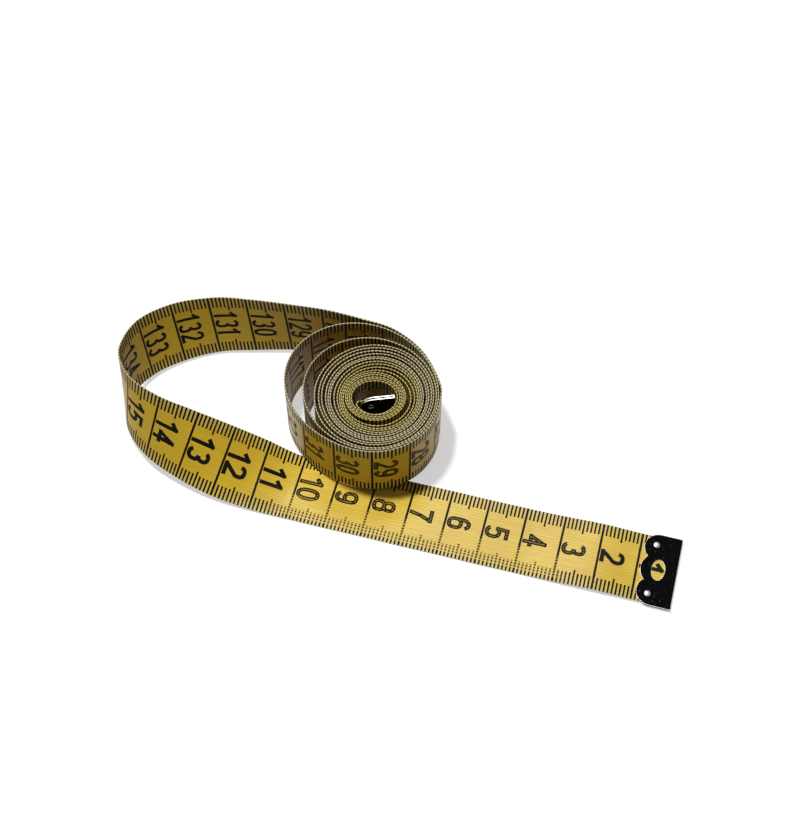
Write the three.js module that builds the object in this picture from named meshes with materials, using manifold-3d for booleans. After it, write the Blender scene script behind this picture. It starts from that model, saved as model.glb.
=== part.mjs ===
// Cloth tape measure, partly unrolled: a printed ribbon lies flat from its zero end, turns up on its
// edge in a wide loop and runs into a coil. A folded metal clip closes each end of the ribbon.
// Millimetres, +Z up, the table at z = 0, the origin at the middle of the footprint.

import * as THREE from 'three';
import Module from 'manifold-3d';

// The ribbon
const TAPE_WIDTH = 19;
const TAPE_THICKNESS = 0.23;

// Gaps that keep neighbours apart
const TURN_GAP = 0.426; // between one loop of the coil and the next
const STRETCH_GAP = 0.3; // at each line where the ribbon bends
const TABLE_SEAT_GAP = 0.7; // between the coil and the flat stretch that it stands on
const CLIP_CLEARANCE = 0.1; // between the ribbon and each plate of a clip
const RIVET_CLEARANCE = 0.08; // round a rivet's shank and under its heads
const CORE_CLEARANCE = 0.6; // between the core clip and the hollow that it spans

// The folded clips
const CLIP_LENGTH = 9.2; // from the fold to the tips of the lobes
const CLIP_SHEET = 0.3;
const CLIP_OVERHANG = 0.6; // how far a clip stands out past each edge of the ribbon
const CLIP_LOBES = 3;
const LOBE_DEPTH = 1.3;
const WINDOW_LENGTH = 3.4; // along the ribbon
const WINDOW_WIDTH = 5.8; // across the ribbon
const WINDOW_FROM_FOLD = 4.7;

// The rivets, two in each clip
const RIVET_SHANK_RADIUS = 0.5;
const RIVET_HEAD_RADIUS = 0.85;
const RIVET_HEAD_HEIGHT = 0.2;
const RIVET_FROM_FOLD = 6.25;
const RIVET_FROM_EDGE = 2.5;

// The coil
const COIL_LOOPS = 17.45;
const COIL_CENTRE = [-6.1, 9.2];
const LOOP_STEPS = 24;
const SLACK_FIRST = 14.3; // how far the outermost loop bulges
const SLACK_LOOPS = 2.4; // how many loops bulge, each less than the one before
const SLACK_FALL = 1.3;
const SLACK_SHARPNESS = 3;
const SLACK_TOWARDS = THREE.MathUtils.degToRad(134);
const CORE_BEND_RADIUS = 0.8; // where the ribbon turns in to cross the hollow
const CORE_BEND_STEPS = 6;
const SEAT_MARGIN = 2.1; // how far behind the flat stretch the coil is already clear of it

// How finely round shapes are cut
const ROUND_SIDES = 16;
const FOLD_SEGMENTS = 8;
const OUTLINE_SEGMENTS = 10;

const TABLE_TO_TAPE = RIVET_HEAD_HEIGHT + RIVET_CLEARANCE + CLIP_SHEET + CLIP_CLEARANCE;
const LOOP_PITCH = TAPE_THICKNESS + TURN_GAP;
const CORE_RADIUS = CLIP_LENGTH / 2 + CORE_CLEARANCE;
const COIL_RADIUS = CORE_RADIUS + COIL_LOOPS * LOOP_PITCH;
const CLIP_WIDTH = TAPE_WIDTH + 2 * CLIP_OVERHANG;
const CLIP_INNER = TAPE_THICKNESS / 2 + CLIP_CLEARANCE;
const CLIP_OUTER = CLIP_INNER + CLIP_SHEET;
const TAPE_INSET = CLIP_SHEET + 2 * CLIP_CLEARANCE; // from a clip's fold to the ribbon's cut end

// The free run of the ribbon, one point for each centimetre from the zero end: x and y of the lower
// edge, its height over the table, the lean, which is 0 lying with the print up and 90 on edge, and
// the rake, by which the upper edge trails the lower one.
const FREE_RUN = [
  [68.0, -40.2, TABLE_TO_TAPE, 0, 0],
  [58.3, -37.7, TABLE_TO_TAPE, 0, 0],
  [48.6, -35.3, 1.1, 0, 0],
  [38.9, -32.9, 0.5, 0, 0],
  [29.2, -30.4, 0, 0, 0],
  [19.5, -28.0, 0, 0, 0],
  [9.8, -25.5, 0, 0, 0],
  [0.1, -23.1, 0, 0, 0],
  [-9.6, -20.6, 0, 0, 0],
  [-19.3, -18.2, 0, 0, 0],
  [-29.0, -15.7, 0, 0, 0],
  [-38.7, -13.3, 0.8, 13.2, 0],
  [-48.6, -10.0, 1.7, 29.5, 0],
  [-57.9, -5.2, 2.7, 45.5, -1.4],
  [-66.1, 0.9, 3.4, 61.5, -5.9],
  [-71.7, 9.3, 3.5, 78.6, -10.8],
  [-72.2, 19.1, 2.6, 95.0, -11.6],
  [-67.0, 27.4, 1.4, 106.8, -6.0],
  [-58.7, 32.8, 0.8, 109.6, 0],
  [-49.3, 35.8, 0.8, 105.7, 4.1],
  [-39.4, 36.3, 1.1, 101.2, 5.5],
  [-29.5, 36.4, 1.3, 95.6, 5.0],
  [-19.8, 36.1, 1.0, 91.5, 3.3],
  [-10.3, 34.3, 0.2, 90, 0],
];

// The last of it closes in on the coil: angle about the coil's centre, and distance past its loops.
const LEAD_IN = [
  [78.3, 5.7],
  [51.6, 2.5],
  [20.2, 0.6],
];

const POINT_SPACING = 10;
const HALF_STRETCH_GAP = STRETCH_GAP / 2 / POINT_SPACING;

// Where the ribbon's stretches meet, counted in points of the free run
const LIFT_LINE = 5;
const TWIST_LINE = 10;
const LOOP_LINE = 15.67; // here the ribbon stands straight up
const BACK_LINE = 19;
const COIL_LINE = 23;

// Cross-sections along each stretch, more of them where it bends more
const STRETCH_STEPS = { zeroEnd: 14, front: 5, twist: 48, turn: 28, back: 24, leadIn: 24 };

// The coil leans back a little: its front stands on the flat stretch, its back on the table.
const COIL_BACK = FREE_RUN.at(-1)[1];
const COIL_SEAT = FREE_RUN[TWIST_LINE][1] + TAPE_WIDTH + SEAT_MARGIN;

const UP = new THREE.Vector3(0, 0, 1);

const PRINTED_TAPE = { color: 0xd9bc4f, roughness: 0.6, metalness: 0 };
const BLACK_ENAMEL = { color: 0x17171a, roughness: 0.3, metalness: 0.2 };
const PLATED_STEEL = { color: 0xb9bbbe, roughness: 0.35, metalness: 1 };

const wasm = await Module();
wasm.setup();

// The ribbon's route

function smoothstep(value) {
  const t = THREE.MathUtils.clamp(value, 0, 1);
  return t * t * (3 - 2 * t);
}

function coilHeight(y) {
  const rise = (COIL_BACK - y) / (COIL_BACK - COIL_SEAT);
  return Math.max(0, rise) * (TAPE_THICKNESS + TABLE_SEAT_GAP);
}

// A point of the coil's lower edge, turned clockwise from the right-hand side of the coil
function coilPoint(turned) {
  const loops = turned / (2 * Math.PI);
  const angle = -turned;
  const open = (1 + Math.cos(angle - SLACK_TOWARDS)) / 2;
  const bulge = SLACK_FIRST * Math.max(0, 1 - loops / SLACK_LOOPS) ** SLACK_FALL;
  const slack = bulge * open ** SLACK_SHARPNESS;
  const radius = COIL_RADIUS - LOOP_PITCH * loops + slack;
  const x = COIL_CENTRE[0] + radius * Math.cos(angle);
  const y = COIL_CENTRE[1] + radius * Math.sin(angle);
  const coreLift = CLIP_OVERHANG * smoothstep(loops - COIL_LOOPS + 1);
  return new THREE.Vector3(x, y, coilHeight(y) + coreLift);
}

function leadPoint([degrees, past]) {
  const angle = THREE.MathUtils.degToRad(degrees);
  const radius = COIL_RADIUS + past;
  const x = COIL_CENTRE[0] + radius * Math.cos(angle);
  const y = COIL_CENTRE[1] + radius * Math.sin(angle);
  return new THREE.Vector3(x, y, coilHeight(y));
}

// The point past the coil's start only steers the curve, so that the two join without a kink.
const feet = [
  ...FREE_RUN.map(([x, y, height]) => new THREE.Vector3(x, y, height)),
  ...LEAD_IN.map(leadPoint),
  coilPoint(0),
  coilPoint(POINT_SPACING / COIL_RADIUS),
];
const stances = feet.map((foot, i) => {
  const [lean, rake] = i < FREE_RUN.length ? FREE_RUN[i].slice(3) : [90, 0];
  return new THREE.Vector3(lean, rake, 0);
});
const COIL_START = feet.length - 2;

const footCurve = new THREE.CatmullRomCurve3(feet, false, 'catmullrom', 0.5);
const stanceCurve = new THREE.CatmullRomCurve3(stances, false, 'catmullrom', 0.5);

// One cross-section of the ribbon: its middle, the direction across it and the printed face's normal
function section(foot, heading, lean, rake = 0) {
  const forward = new THREE.Vector3(heading.x, heading.y, 0).normalize();
  const inward = new THREE.Vector3(forward.y, -forward.x, 0);
  const across = inward.multiplyScalar(Math.cos(lean)).addScaledVector(UP, Math.sin(lean));
  across.multiplyScalar(Math.cos(rake)).addScaledVector(forward, -Math.sin(rake));
  const face = new THREE.Vector3().crossVectors(across, heading).normalize();
  const middle = foot.clone().addScaledVector(across, TAPE_WIDTH / 2);
  middle.z += (Math.abs(face.z) * TAPE_THICKNESS) / 2;
  return { middle, across, face };
}

function freeSection(place) {
  const t = place / (feet.length - 1);
  const foot = footCurve.getPoint(t);
  foot.z = Math.max(0, foot.z);
  const stance = stanceCurve.getPoint(t);
  const lean = THREE.MathUtils.degToRad(Math.max(0, stance.x));
  const rake = THREE.MathUtils.degToRad(stance.y);
  return section(foot, footCurve.getTangent(t), lean, rake);
}

function freeSections(from, to, steps) {
  return Array.from({ length: steps + 1 }, (_, i) => freeSection(from + ((to - from) * i) / steps));
}

function coilSections() {
  const steps = Math.round(COIL_LOOPS * LOOP_STEPS);
  const step = (2 * Math.PI * COIL_LOOPS) / steps;
  const sections = [];
  for (let i = 1; i <= steps; i++) {
    const heading = coilPoint((i + 0.5) * step).sub(coilPoint((i - 0.5) * step)).setZ(0).normalize();
    sections.push(section(coilPoint(i * step), heading, Math.PI / 2));
  }
  return sections;
}

// From the innermost loop the ribbon turns in and runs straight across the hollow, through its centre.
const coreEnd = coilPoint(2 * Math.PI * COIL_LOOPS);
const outward = new THREE.Vector3(coreEnd.x - COIL_CENTRE[0], coreEnd.y - COIL_CENTRE[1], 0);
const coreReach = outward.length();
outward.normalize();
const along = new THREE.Vector3(outward.y, -outward.x, 0);
const bendCentre = coreEnd.clone().addScaledVector(outward, -CORE_BEND_RADIUS);
const bendAngle = Math.acos(-CORE_BEND_RADIUS / (coreReach - CORE_BEND_RADIUS));

function bendHeading(turned) {
  return along.clone().multiplyScalar(Math.cos(turned)).addScaledVector(outward, -Math.sin(turned));
}

function bendPoint(turned) {
  const spoke = outward.clone().multiplyScalar(Math.cos(turned)).addScaledVector(along, Math.sin(turned));
  return bendCentre.clone().addScaledVector(spoke, CORE_BEND_RADIUS);
}

const chordStart = bendPoint(bendAngle);
const chordHeading = bendHeading(bendAngle);
const coreMiddle = new THREE.Vector3(COIL_CENTRE[0], COIL_CENTRE[1], coreEnd.z);
const coreFold = coreMiddle.clone().addScaledVector(chordHeading, CORE_RADIUS - TAPE_THICKNESS);

function coreSections() {
  const sections = [];
  for (let i = 1; i <= CORE_BEND_STEPS; i++) {
    const turned = (bendAngle * i) / CORE_BEND_STEPS;
    sections.push(section(bendPoint(turned), bendHeading(turned), Math.PI / 2));
  }
  const end = coreFold.clone().addScaledVector(chordHeading, -TAPE_INSET);
  sections.push(section(end, chordHeading, Math.PI / 2));
  return sections;
}

// Solids

// A closed ribbon through its cross-sections. Both wide faces are cut along the same diagonals, so that
// a twisted stretch keeps its thickness.
function ribbon(sections) {
  const positions = [];
  for (const { middle, across, face } of sections) {
    for (const [side, top] of [[-1, 1], [1, 1], [1, -1], [-1, -1]]) {
      const corner = middle.clone().addScaledVector(across, (side * TAPE_WIDTH) / 2);
      corner.addScaledVector(face, (top * TAPE_THICKNESS) / 2);
      positions.push(corner.x, corner.y, corner.z);
    }
  }
  const index = [0, 2, 1, 0, 3, 2];
  const last = 4 * (sections.length - 1);
  for (let start = 0; start < last; start += 4) {
    for (let k = 0; k < 4; k++) {
      const next = (k + 1) % 4;
      const [a, b, c, d] = [start + k, start + next, start + 4 + next, start + 4 + k];
      if (k === 2) index.push(a, b, d, b, c, d);
      else index.push(a, b, c, a, c, d);
    }
  }
  index.push(last, last + 1, last + 2, last, last + 2, last + 3);
  const geometry = new THREE.BufferGeometry();
  geometry.setAttribute('position', new THREE.Float32BufferAttribute(positions, 3));
  geometry.setIndex(index);
  return geometry;
}

// Vertices at the same place, to a hundred-thousandth of a millimetre, become one.
function toSolid(geometry) {
  const source = geometry.index ? geometry.toNonIndexed() : geometry;
  const position = source.attributes.position;
  const known = new Map();
  const vertices = [];
  const corners = [];
  for (let i = 0; i < position.count; i++) {
    const point = [position.getX(i), position.getY(i), position.getZ(i)];
    const key = point.map((value) => Math.round(value * 1e5)).join();
    if (!known.has(key)) {
      known.set(key, known.size);
      vertices.push(...point);
    }
    corners.push(known.get(key));
  }
  const triangles = [];
  for (let i = 0; i < corners.length; i += 3) {
    const [a, b, c] = corners.slice(i, i + 3);
    if (a !== b && b !== c && c !== a) triangles.push(a, b, c);
  }
  const mesh = { numProp: 3, vertProperties: new Float32Array(vertices), triVerts: new Uint32Array(triangles) };
  return new wasm.Manifold(new wasm.Mesh(mesh));
}

function toGeometry(solid) {
  const mesh = solid.getMesh();
  const geometry = new THREE.BufferGeometry();
  geometry.setAttribute('position', new THREE.Float32BufferAttribute(mesh.vertProperties, 3));
  geometry.setIndex([...mesh.triVerts]);
  return geometry;
}

function addPiece(parent, name, geometry, finish) {
  const mesh = new THREE.Mesh(geometry, new THREE.MeshStandardMaterial(finish));
  mesh.name = name;
  parent.add(mesh);
}

// A clip lies with its fold at x = 0, its mouth towards +x and the ribbon's middle plane at z = 0.
const RIVET_PLACES = [-1, 1].map((side) => [RIVET_FROM_FOLD, side * (TAPE_WIDTH / 2 - RIVET_FROM_EDGE)]);

// The sheet folded back on itself, seen along the fold
function foldedSheet() {
  const shape = new THREE.Shape();
  shape.moveTo(CLIP_LENGTH, CLIP_INNER);
  shape.lineTo(CLIP_LENGTH, CLIP_OUTER);
  shape.absarc(CLIP_OUTER, 0, CLIP_OUTER, Math.PI / 2, (3 * Math.PI) / 2, false);
  shape.lineTo(CLIP_LENGTH, -CLIP_OUTER);
  shape.lineTo(CLIP_LENGTH, -CLIP_INNER);
  shape.absarc(CLIP_OUTER, 0, CLIP_INNER, (3 * Math.PI) / 2, Math.PI / 2, true);
  shape.closePath();
  const settings = { depth: CLIP_WIDTH, bevelEnabled: false, curveSegments: FOLD_SEGMENTS };
  const geometry = new THREE.ExtrudeGeometry(shape, settings);
  return geometry.rotateX(Math.PI / 2).translate(0, CLIP_WIDTH / 2, 0);
}

// The stamped outline: a mouth of round lobes, an oval window and two rivet holes
function stampedOutline() {
  const margin = CLIP_OUTER;
  const lobeHalf = CLIP_WIDTH / CLIP_LOBES / 2;
  const lobeRadius = (lobeHalf ** 2 + LOBE_DEPTH ** 2) / 2 / LOBE_DEPTH;
  const lobeAngle = Math.asin(lobeHalf / lobeRadius);
  const shape = new THREE.Shape();
  shape.moveTo(-margin, CLIP_WIDTH / 2);
  shape.lineTo(-margin, -CLIP_WIDTH / 2);
  for (let i = 0; i < CLIP_LOBES; i++) {
    const across = -CLIP_WIDTH / 2 + lobeHalf * (2 * i + 1);
    shape.absarc(CLIP_LENGTH - lobeRadius, across, lobeRadius, -lobeAngle, lobeAngle, false);
  }
  shape.closePath();
  const windowHole = new THREE.Path();
  windowHole.absellipse(WINDOW_FROM_FOLD, 0, WINDOW_LENGTH / 2, WINDOW_WIDTH / 2, 0, 2 * Math.PI, true);
  shape.holes.push(windowHole);
  for (const [x, y] of RIVET_PLACES) {
    const rivetHole = new THREE.Path();
    rivetHole.absarc(x, y, RIVET_SHANK_RADIUS + RIVET_CLEARANCE, 0, 2 * Math.PI, true);
    shape.holes.push(rivetHole);
  }
  const settings = { depth: 4 * margin, bevelEnabled: false, curveSegments: OUTLINE_SEGMENTS };
  return new THREE.ExtrudeGeometry(shape, settings).translate(0, 0, -2 * margin);
}

function clipGeometry() {
  return toGeometry(toSolid(foldedSheet()).intersect(toSolid(stampedOutline())));
}

// A shank through both plates and the ribbon, with a low domed head on each side
function rivetGeometry() {
  const seat = CLIP_OUTER + RIVET_CLEARANCE;
  const crown = seat + RIVET_HEAD_HEIGHT;
  const shoulder = seat + RIVET_HEAD_HEIGHT / 2;
  const profile = [
    [0, -crown],
    [RIVET_HEAD_RADIUS / 2, -crown],
    [RIVET_HEAD_RADIUS, -shoulder],
    [RIVET_HEAD_RADIUS, -seat],
    [RIVET_SHANK_RADIUS, -seat],
    [RIVET_SHANK_RADIUS, seat],
    [RIVET_HEAD_RADIUS, seat],
    [RIVET_HEAD_RADIUS, shoulder],
    [RIVET_HEAD_RADIUS / 2, crown],
    [0, crown],
  ];
  const points = profile.map(([radius, height]) => new THREE.Vector2(radius, height));
  return new THREE.LatheGeometry(points, ROUND_SIDES).rotateX(Math.PI / 2);
}

// The frame of a clip: its fold's place, the way from the fold to its mouth, and the ribbon's face
function clipFrame(fold, toMouth, face) {
  const width = new THREE.Vector3().crossVectors(face, toMouth);
  return new THREE.Matrix4().makeBasis(toMouth, width, face).setPosition(fold);
}

function addClip(parent, name, rivetNames, frame) {
  const group = new THREE.Group();
  group.applyMatrix4(frame);
  addPiece(group, name, clipGeometry(), BLACK_ENAMEL);
  RIVET_PLACES.forEach(([x, y], i) => {
    addPiece(group, rivetNames[i], rivetGeometry().translate(x, y, 0), PLATED_STEEL);
  });
  parent.add(group);
}

// The ribbon is pierced where a clip's rivets go through it.
function pierced(geometry, frame) {
  const radius = RIVET_SHANK_RADIUS + RIVET_CLEARANCE;
  let solid = toSolid(geometry);
  for (const [x, y] of RIVET_PLACES) {
    const punch = new THREE.CylinderGeometry(radius, radius, 2 * CLIP_OUTER, ROUND_SIDES);
    punch.rotateX(Math.PI / 2).translate(x, y, 0).applyMatrix4(frame);
    solid = solid.subtract(toSolid(punch));
  }
  return toGeometry(solid);
}

// Measures

function planDistance(point, start, end) {
  const line = end.clone().sub(start);
  const t = THREE.MathUtils.clamp(point.clone().sub(start).dot(line) / line.lengthSq(), 0, 1);
  return start.clone().addScaledVector(line, t).distanceTo(point);
}

// Least clear space between parts of the coiled ribbon that lie half a loop or more apart along it
function leastGap(sections) {
  const faces = [1, -1].map((side) => sections.map(({ middle, face }) => (
    new THREE.Vector2(middle.x, middle.y).addScaledVector(face, (side * TAPE_THICKNESS) / 2))));
  const halfLoop = Math.round(LOOP_STEPS / 2);
  let least = Infinity;
  for (const points of faces) {
    for (const others of faces) {
      for (let i = 0; i < points.length; i++) {
        for (let j = i + halfLoop; j < others.length - 1; j++) {
          least = Math.min(least, planDistance(points[i], others[j], others[j + 1]));
        }
      }
    }
  }
  return least;
}

function runLength(sections) {
  let length = 0;
  for (let i = 1; i < sections.length; i++) length += sections[i].middle.distanceTo(sections[i - 1].middle);
  return length;
}

// Assembly

const part = new THREE.Group();

const start = freeSection(0);
const zeroHeading = footCurve.getTangent(0).setZ(0).normalize();
const zeroFrame = clipFrame(start.middle, zeroHeading, UP);
const coreFace = new THREE.Vector3().crossVectors(UP, chordHeading);
const coreFoldMiddle = coreFold.clone().addScaledVector(UP, TAPE_WIDTH / 2);
const coreFrame = clipFrame(coreFoldMiddle, chordHeading.clone().negate(), coreFace);

const cutEnd = TAPE_INSET / POINT_SPACING;
const zeroEnd = freeSections(cutEnd, LIFT_LINE - HALF_STRETCH_GAP, STRETCH_STEPS.zeroEnd);
addPiece(part, 'tape_zero_end', pierced(ribbon(zeroEnd), zeroFrame), PRINTED_TAPE);

const STRETCHES = [
  ['tape_front', LIFT_LINE, TWIST_LINE, STRETCH_STEPS.front],
  ['tape_twist', TWIST_LINE, LOOP_LINE, STRETCH_STEPS.twist],
  ['tape_turn', LOOP_LINE, BACK_LINE, STRETCH_STEPS.turn],
  ['tape_back', BACK_LINE, COIL_LINE, STRETCH_STEPS.back],
];
for (const [name, from, to, steps] of STRETCHES) {
  const sections = freeSections(from + HALF_STRETCH_GAP, to - HALF_STRETCH_GAP, steps);
  addPiece(part, name, ribbon(sections), PRINTED_TAPE);
}

const coiled = [
  ...freeSections(COIL_LINE + HALF_STRETCH_GAP, COIL_START, STRETCH_STEPS.leadIn),
  ...coilSections(),
  ...coreSections(),
];
addPiece(part, 'tape_coil', pierced(ribbon(coiled), coreFrame), PRINTED_TAPE);

addClip(part, 'zero_clip', ['zero_clip_rivet_far', 'zero_clip_rivet_near'], zeroFrame);
addClip(part, 'core_clip', ['core_clip_rivet_lower', 'core_clip_rivet_upper'], coreFrame);

const whole = [...freeSections(0, COIL_LINE, POINT_SPACING * COIL_LINE), ...coiled];
console.log(`ribbon length ${(runLength(whole) + TAPE_INSET).toFixed(1)} mm`);
console.log(`least gap of the coil to itself ${leastGap(coiled).toFixed(3)} mm`);

export default part;
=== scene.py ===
# %% [markdown]
# # A cloth tape measure, partly unrolled on a table
#
# The object is one long ribbon of coated cloth with a scale printed on both faces, and a folded metal
# clip riveted on each end. It lies on a table: the zero end flat, a wide loop standing on its edge, and
# a coil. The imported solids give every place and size, and this script dresses them.

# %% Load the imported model
import math

import bpy
import numpy as np
from mathutils import Matrix, Vector, geometry


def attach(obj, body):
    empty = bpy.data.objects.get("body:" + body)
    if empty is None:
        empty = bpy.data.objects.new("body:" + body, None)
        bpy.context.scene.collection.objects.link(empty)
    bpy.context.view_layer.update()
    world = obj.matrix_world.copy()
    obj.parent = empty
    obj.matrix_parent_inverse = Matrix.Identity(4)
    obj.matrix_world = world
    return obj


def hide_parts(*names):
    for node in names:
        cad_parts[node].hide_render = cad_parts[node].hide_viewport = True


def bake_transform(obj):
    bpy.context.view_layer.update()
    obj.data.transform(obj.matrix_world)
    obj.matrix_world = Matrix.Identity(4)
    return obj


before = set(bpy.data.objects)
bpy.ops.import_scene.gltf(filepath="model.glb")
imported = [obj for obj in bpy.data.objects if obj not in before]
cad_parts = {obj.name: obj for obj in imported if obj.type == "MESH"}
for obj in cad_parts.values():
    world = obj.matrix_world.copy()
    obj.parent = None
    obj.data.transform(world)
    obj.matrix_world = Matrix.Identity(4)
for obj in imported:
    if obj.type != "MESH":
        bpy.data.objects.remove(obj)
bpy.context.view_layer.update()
MM = 0.001
print("solids:", ", ".join(sorted(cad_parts)))

# %% [markdown]
# ## The camera
#
# The printed centimetres show where the photograph was taken from: about 40 cm away, from in front and
# well above. The camera looks at one point of the table, with a slight roll. A long lens keeps the
# coil's round top from swelling towards the eye, as in the photograph.

# %% Place the camera
IMAGE_SIZE = (800, 840)
LOOKED_AT = Vector((0.3, 14.7, 0)) * MM
CAMERA_DISTANCE = 400 * MM
CAMERA_HEIGHT = math.radians(58.3)
CAMERA_ROLL = math.radians(0.6)
FOCAL_PIXELS = 1488
SENSOR = 36  # millimetres
NEAREST, FARTHEST = 0.01, 20  # metres


def add_camera():
    lens = bpy.data.cameras.new("camera")
    # the sensor's width is that of the longer side of the picture
    lens.sensor_width = SENSOR
    lens.lens = SENSOR * FOCAL_PIXELS / max(IMAGE_SIZE)
    lens.clip_start, lens.clip_end = NEAREST, FARTHEST
    camera = bpy.data.objects.new("camera", lens)
    bpy.context.scene.collection.objects.link(camera)
    back = Vector((0, -math.cos(CAMERA_HEIGHT), math.sin(CAMERA_HEIGHT)))
    turn = (-back).to_track_quat("-Z", "Y").to_matrix().to_4x4()
    place = Matrix.Translation(LOOKED_AT + back * CAMERA_DISTANCE)
    camera.matrix_world = place @ turn @ Matrix.Rotation(CAMERA_ROLL, 4, "Z")
    bpy.context.scene.camera = camera
    print("lens", round(lens.lens, 1), "mm")


add_camera()
bpy.context.scene.view_settings.view_transform = "Standard"

# %% [markdown]
# ## The way that the ribbon lies
#
# A ribbon bends easily along its length and hardly at all in its own plane. So its shape is told by the
# line of its lower edge and by how it stands there. Its lean is 0 where it lies with the print up, and
# 90 where it stands on its edge. Its rake is how far the upper edge lags behind the lower one, as in a
# loop that twists. One point for each printed centimetre carries all that, and a smooth curve runs
# through the points. They are the same points that the solids follow.

# %% The free run of the ribbon
WIDTH = 19 * MM
LENGTH_CM = 150
SOLID_THICKNESS = 0.23 * MM
CLOTH_THICKNESS = 0.38 * MM
TABLE_TO_TAPE = 0.68 * MM
END_INSET = 0.5 * MM

# x and y of the lower edge, its height over the table, the lean and the rake
FREE_RUN = (
    (0.0680, -0.0402, TABLE_TO_TAPE, 0, 0),
    (0.0583, -0.0377, TABLE_TO_TAPE, 0, 0),
    (0.0486, -0.0353, 0.0011, 0, 0),
    (0.0389, -0.0329, 0.0005, 0, 0),
    (0.0292, -0.0304, 0, 0, 0),
    (0.0195, -0.0280, 0, 0, 0),
    (0.0098, -0.0255, 0, 0, 0),
    (0.0001, -0.0231, 0, 0, 0),
    (-0.0096, -0.0206, 0, 0, 0),
    (-0.0193, -0.0182, 0, 0, 0),
    (-0.0290, -0.0157, 0, 0, 0),
    (-0.0387, -0.0133, 0.0008, 13.2, 0),
    (-0.0486, -0.0100, 0.0017, 29.5, 0),
    (-0.0579, -0.0052, 0.0027, 45.5, -1.4),
    (-0.0661, 0.0009, 0.0034, 61.5, -5.9),
    (-0.0717, 0.0093, 0.0035, 78.6, -10.8),
    (-0.0722, 0.0191, 0.0026, 95.0, -11.6),
    (-0.0670, 0.0274, 0.0014, 106.8, -6.0),
    (-0.0587, 0.0328, 0.0008, 109.6, 0),
    (-0.0493, 0.0358, 0.0008, 105.7, 4.1),
    (-0.0394, 0.0363, 0.0011, 101.2, 5.5),
    (-0.0295, 0.0364, 0.0013, 95.6, 5.0),
    (-0.0198, 0.0361, 0.0010, 91.5, 3.3),
    (-0.0103, 0.0343, 0.0002, 90, 0),
)

# angle about the coil's centre, in degrees, and distance past its loops
LEAD_IN = ((78.3, 5.7 * MM), (51.6, 2.5 * MM), (20.2, 0.6 * MM))
POINT_SPACING = 10 * MM
print("points of the free run:", len(FREE_RUN) + len(LEAD_IN))

# %% [markdown]
# ## The coil
#
# A coil wound by hand is never even. Some loops lie tight on each other, and dark gaps open between
# others, each on one side of the coil. The outermost loops hang loose towards the back left, and the
# flat clip in the hollow stretches it to an oval. A spiral with a small opening under some of its loops
# has that look, while it fills the same room as the solid's even spiral.

# %% A spiral with openings
COIL_CENTRE = (-6.1 * MM, 9.2 * MM)
COIL_LOOPS = 17.45
CORE_RADIUS, COIL_RADIUS = 5.2 * MM, 16.647 * MM
SLACK_FIRST, SLACK_LOOPS, SLACK_FALL, SLACK_SHARPNESS = 13.0 * MM, 2.4, 1.3, 3
SLACK_TOWARDS = math.radians(134)
DRIFT, DRIFT_TOWARDS = 0.6 * MM, math.radians(100)  # the loops lie wider apart towards the back
DEEPER = 0.3 * MM  # and the coil is longer from front to back than from side to side
OVAL, OVAL_FIRST, OVAL_LAST = 0.42 * MM, 8, 16.7
LOOP_RISE, RISE_PACE, RISE_FADE = 0.18 * MM, 1.05, 2  # some loops stand a little higher than others
COIL_CLEARANCE, SEAT_PAST_EDGE = 0.7 * MM, 2.1 * MM  # over the flat stretch, and past its far edge
FLAT_END = 10  # the last printed centimetre that lies flat
SEAT_RISE = SOLID_THICKNESS + COIL_CLEARANCE
SEAT_BACK, SEAT_FRONT = FREE_RUN[-1][1], FREE_RUN[FLAT_END][1] + WIDTH + SEAT_PAST_EDGE

# the loop under which a gap opens, how wide, and on which side of the coil in degrees
OPENINGS = (
    (2, 0.35 * MM, 280),
    (3, 0.45 * MM, 150),
    (4, 0.45 * MM, 100),
    (5, 0.50 * MM, 170),
    (6, 0.50 * MM, 60),
    (7, 0.45 * MM, 185),
    (9, 0.40 * MM, 150),
    (10, 0.40 * MM, 70),
    (11, 0.50 * MM, 0),
    (12, 1.15 * MM, 315),
)
OPENING_FADE = 0.2


def smoothstep(value):
    t = np.clip(value, 0, 1)
    return t * t * (3 - 2 * t)


def facing(angle, towards):
    """1 on the side of the coil that faces a direction, 0 on the opposite side."""
    return (1 + np.cos(angle - towards)) / 2


def coil_height(y):
    """The coil stands with its back on the table and its front just over the flat stretch."""
    return np.maximum(0, (SEAT_BACK - y) / (SEAT_BACK - SEAT_FRONT)) * SEAT_RISE


def uneven_growth(angle):
    """How much further the outermost loop lies from the middle on some sides than on others."""
    return DRIFT * np.cos(angle - DRIFT_TOWARDS) - DEEPER * np.cos(2 * angle)


# what that leaves is shared by all loops, so that the outermost one meets the run-in
opened = uneven_growth(0) + sum(size * facing(0, math.radians(side)) for _, size, side in OPENINGS)
TIGHT_PITCH = (COIL_RADIUS - CORE_RADIUS - opened) / COIL_LOOPS
print("tight loops lie", round(TIGHT_PITCH / MM, 3), "mm apart")


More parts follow.
